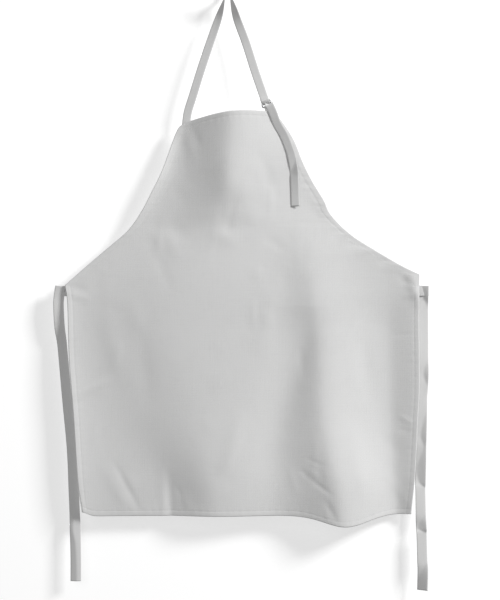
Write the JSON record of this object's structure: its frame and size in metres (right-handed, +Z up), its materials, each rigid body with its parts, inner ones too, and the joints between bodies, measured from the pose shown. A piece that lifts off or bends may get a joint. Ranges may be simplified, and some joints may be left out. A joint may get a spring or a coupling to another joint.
{
  "type": "bib apron on a coat hook",
  "caption": "Plain cotton bib apron hanging by its adjustable neck strap from a steel coat hook, with long tape waist ties at the sides.",
  "frame": {"origin": "centre of the hook plate's back face, which lies flat on the wall", "axes": "+Z up, +Y into the wall, so the apron hangs in front of the wall towards -Y; +X to the right as seen from the room"},
  "size_m": [0.7259, 0.0841, 1.2022],
  "materials": {
    "apron_cloth": "matt plain-woven cotton, white, softly creased",
    "woven_tape": "matt twill-woven cotton tape, white",
    "sewing_thread": "fine white lockstitch thread",
    "hook_steel": "satin nickel-plated steel",
    "screw_steel": "bright zinc-plated steel",
    "ring_metal": "nickel-plated steel wire"
  },
  "bodies": {
    "hook": {"hook_plate": "hook_steel", "hook_arm": "hook_steel", "hook_tip": "hook_steel", "screw_lower": "screw_steel", "screw_upper": "screw_steel"},
    "neck_strap": {"strap_bight": "woven_tape"},
    "bib": {"strap_left_limb": "woven_tape", "strap_right_limb": "woven_tape", "ring_keeper": "woven_tape", "d_ring_front": "ring_metal", "d_ring_back": "ring_metal", "bib_panel": "apron_cloth", "bib_top_hem": "apron_cloth", "left_armhole_facing": "apron_cloth", "right_armhole_facing": "apron_cloth", "left_side_hem_upper": "apron_cloth", "right_side_hem_upper": "apron_cloth"},
    "skirt": {"skirt_panel": "apron_cloth", "bottom_hem": "apron_cloth", "left_side_hem_lower": "apron_cloth", "right_side_hem_lower": "apron_cloth"},
    "tail": {"strap_tail": "woven_tape"},
    "left_tie": {"left_waist_tie": "woven_tape"},
    "right_tie": {"right_waist_tie": "woven_tape"}
  },
  "joints": [
    {"name": "lift_off", "type": "slide", "parent": "hook", "child": "neck_strap", "axis": [0, -0.5, 0.866], "range_m": [0, 0.09]},
    {"name": "hang_swing", "type": "hinge", "parent": "neck_strap", "child": "bib", "pos_m": [0, -0.03, -0.026], "axis": [0, 1, 0], "range_deg": [-15, 15]},
    {"name": "skirt_lift", "type": "hinge", "parent": "bib", "child": "skirt", "pos_m": [0, -0.028, -0.666], "axis": [-1, 0, 0], "range_deg": [0, 60]},
    {"name": "tail_lift", "type": "hinge", "parent": "bib", "child": "tail", "pos_m": [0.084, -0.0525, -0.242], "axis": [-1, 0, 0], "range_deg": [0, 80]},
    {"name": "left_tie_swing", "type": "hinge", "parent": "bib", "child": "left_tie", "pos_m": [-0.323, -0.026, -0.588], "axis": [0, 1, 0], "range_deg": [0, 60]},
    {"name": "right_tie_swing", "type": "hinge", "parent": "bib", "child": "right_tie", "pos_m": [0.379, -0.023, -0.587], "axis": [0, -1, 0], "range_deg": [0, 60]}
  ]
}
